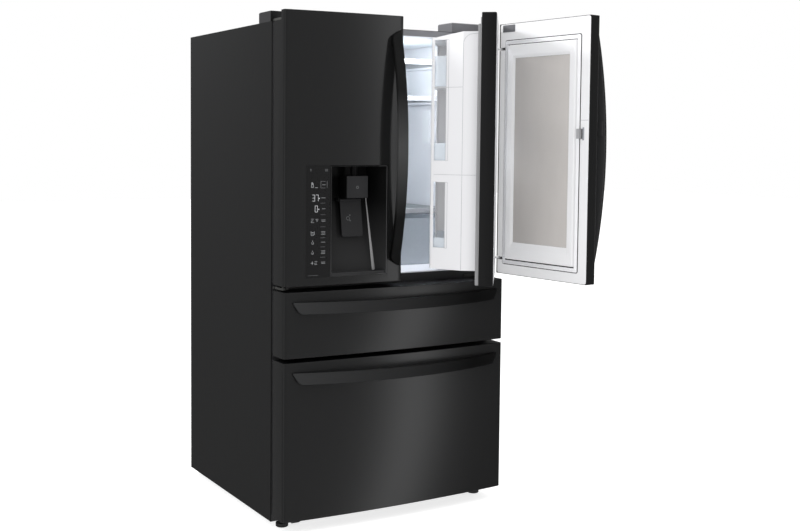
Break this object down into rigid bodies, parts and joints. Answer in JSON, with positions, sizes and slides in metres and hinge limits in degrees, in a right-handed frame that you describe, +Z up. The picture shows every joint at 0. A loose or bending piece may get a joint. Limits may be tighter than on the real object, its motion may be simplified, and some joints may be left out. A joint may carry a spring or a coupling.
{
  "type": "french door refrigerator",
  "caption": "Four-door french door refrigerator: two upper doors, one with an outer access door over a bin case, a water and ice dispenser, a middle drawer and a freezer drawer.",
  "frame": {"origin": "on the floor, under the middle of the cabinet front face", "axes": "+Z up, +Y from the front to the back, +X to the right as seen from the front"},
  "size_m": [1.0624, 1.2451, 1.777],
  "materials": {
    "charcoal_steel": "satin",
    "handle_steel": "gloss",
    "case_paint": "satin",
    "bare_steel": "satin",
    "foam": "matte",
    "white_liner": "satin",
    "grey_rail": "satin",
    "grey_cover": "satin",
    "hinge_steel": "satin",
    "lamp_lens": "gloss",
    "clear_glass": "gloss",
    "white_trim": "satin",
    "clear_plastic": "gloss",
    "dark_plastic": "satin",
    "black_paint": "satin",
    "coil_aluminium": "satin",
    "zinc_steel": "satin",
    "grey_gasket": "matte",
    "black_gloss": "gloss"
  },
  "bodies": {
    "cabinet": {"case_wrapper": "case_paint", "rear_panel": "bare_steel", "base_pan": "bare_steel", "case_insulation": "foam", "fridge_liner": "white_liner", "drawer_liners": "white_liner", "front_rails": "grey_rail", "hinge_covers": "grey_cover", "door_hinges": "hinge_steel", "air_duct_panel": "white_liner", "lamp_covers": "lamp_lens", "shelf_glass": "clear_glass", "shelf_frames": "white_trim", "left_crisper": "clear_plastic", "control_box": "dark_plastic", "compressor": "black_paint", "coils_and_fan_motors": "coil_aluminium", "compressor_cover": "bare_steel", "water_valve_and_filter": "dark_plastic", "fixed_rails": "zinc_steel"},
    "left_leg": {"left_leg": "dark_plastic"},
    "right_leg": {"right_leg": "dark_plastic"},
    "front_rollers": {"front_rollers": "dark_plastic"},
    "rear_rollers": {"rear_rollers": "dark_plastic"},
    "condenser_fan": {"condenser_fan": "dark_plastic"},
    "evaporator_fan": {"evaporator_fan": "dark_plastic"},
    "right_crisper": {"right_crisper": "clear_plastic"},
    "left_door": {"left_door_skin": "charcoal_steel", "left_door_liner": "white_liner", "left_door_gasket": "grey_gasket", "left_door_bins": "clear_plastic", "left_door_handle": "handle_steel", "ice_maker": "white_liner", "dispenser_housing": "black_gloss", "control_panel": "black_gloss"},
    "dispenser_paddle": {"dispenser_paddle": "black_gloss"},
    "drip_tray": {"drip_tray": "black_gloss"},
    "mullion_flipper": {"mullion_flipper": "dark_plastic"},
    "right_door": {"right_door_frame": "dark_plastic", "right_bin_case": "white_liner", "right_door_baskets": "clear_plastic", "right_door_gasket": "grey_gasket", "outer_door_hinges": "hinge_steel"},
    "outer_door": {"outer_door_skin": "charcoal_steel", "outer_door_liner": "white_liner", "outer_door_glass": "clear_glass", "outer_door_gasket": "grey_gasket", "outer_door_handle": "handle_steel"},
    "latch_hook": {"latch_hook": "dark_plastic"},
    "handle_button": {"handle_button": "dark_plastic"},
    "middle_drawer": {"middle_drawer_skin": "charcoal_steel", "middle_drawer_liner": "white_liner", "middle_drawer_gasket": "grey_gasket", "middle_drawer_handle": "handle_steel", "middle_drawer_box": "clear_plastic"},
    "freezer_drawer": {"freezer_drawer_skin": "charcoal_steel", "freezer_drawer_liner": "white_liner", "freezer_drawer_gasket": "grey_gasket", "freezer_drawer_handle": "handle_steel", "freezer_drawer_box": "clear_plastic"}
  },
  "joints": [
    {"name": "left_door_hinge", "type": "hinge", "parent": "cabinet", "child": "left_door", "pos_m": [-0.4344, -0.049, 0.85], "axis": [0, 0, -1], "range_deg": [0, 110]},
    {"name": "right_door_hinge", "type": "hinge", "parent": "cabinet", "child": "right_door", "pos_m": [0.4344, -0.049, 0.85], "axis": [0, 0, 1], "range_deg": [-52.4, 57.6]},
    {"name": "outer_door_hinge", "type": "hinge", "parent": "right_door", "child": "outer_door", "pos_m": [0.46201, -0.06067, 0.9], "axis": [0, 0, 1], "range_deg": [-44.3, 45.7]},
    {"name": "flipper_hinge", "type": "hinge", "parent": "left_door", "child": "mullion_flipper", "pos_m": [-0.0215, 0.0088, 1.28], "axis": [0, 0, 1], "range_deg": [0, 90]},
    {"name": "middle_drawer_slide", "type": "slide", "parent": "cabinet", "child": "middle_drawer", "axis": [0, -1, 0], "range_m": [0, 0.4]},
    {"name": "freezer_drawer_slide", "type": "slide", "parent": "cabinet", "child": "freezer_drawer", "axis": [0, -1, 0], "range_m": [0, 0.42]},
    {"name": "crisper_slide", "type": "slide", "parent": "cabinet", "child": "right_crisper", "axis": [0, -1, 0], "range_m": [0, 0.12]},
    {"name": "paddle_hinge", "type": "hinge", "parent": "left_door", "child": "dispenser_paddle", "pos_m": [-0.174, -0.04281, 1.135], "axis": [1, 0, 0], "range_deg": [0, 5], "stiffness_Nm_per_rad": 0.6},
    {"name": "drip_tray_slide", "type": "slide", "parent": "left_door", "child": "drip_tray", "axis": [0, -1, 0], "range_m": [0, 0.045]},
    {"name": "button_slide", "type": "slide", "parent": "outer_door", "child": "handle_button", "axis": [0.9932, 0.1167, 0], "range_m": [0, 0.002], "stiffness_N_per_m": 500},
    {"name": "latch_slide", "type": "slide", "parent": "outer_door", "child": "latch_hook", "axis": [0.1167, -0.9932, 0], "range_m": [0, 0.003]},
    {"name": "left_leg_screw", "type": "hinge", "parent": "cabinet", "child": "left_leg", "pos_m": [-0.406, 0.011, 0.02], "axis": [0, 0, 1], "continuous": true},
    {"name": "right_leg_screw", "type": "hinge", "parent": "cabinet", "child": "right_leg", "pos_m": [0.406, 0.011, 0.02], "axis": [0, 0, 1], "continuous": true},
    {"name": "front_roller_axle", "type": "hinge", "parent": "cabinet", "child": "front_rollers", "pos_m": [0, 0.014, 0.012], "axis": [1, 0, 0], "continuous": true},
    {"name": "rear_roller_axle", "type": "hinge", "parent": "cabinet", "child": "rear_rollers", "pos_m": [0, 0.7, 0.0115], "axis": [1, 0, 0], "continuous": true},
    {"name": "condenser_fan_shaft", "type": "hinge", "parent": "cabinet", "child": "condenser_fan", "pos_m": [0.06, 0.592, 0.137], "axis": [0, 1, 0], "continuous": true},
    {"name": "evaporator_fan_shaft", "type": "hinge", "parent": "cabinet", "child": "evaporator_fan", "pos_m": [0, 0.638, 0.5], "axis": [0, 1, 0], "continuous": true}
  ],
  "couplings": [
    {"joint": "latch_slide", "follows": "button_slide", "ratio": 1.5}
  ]
}
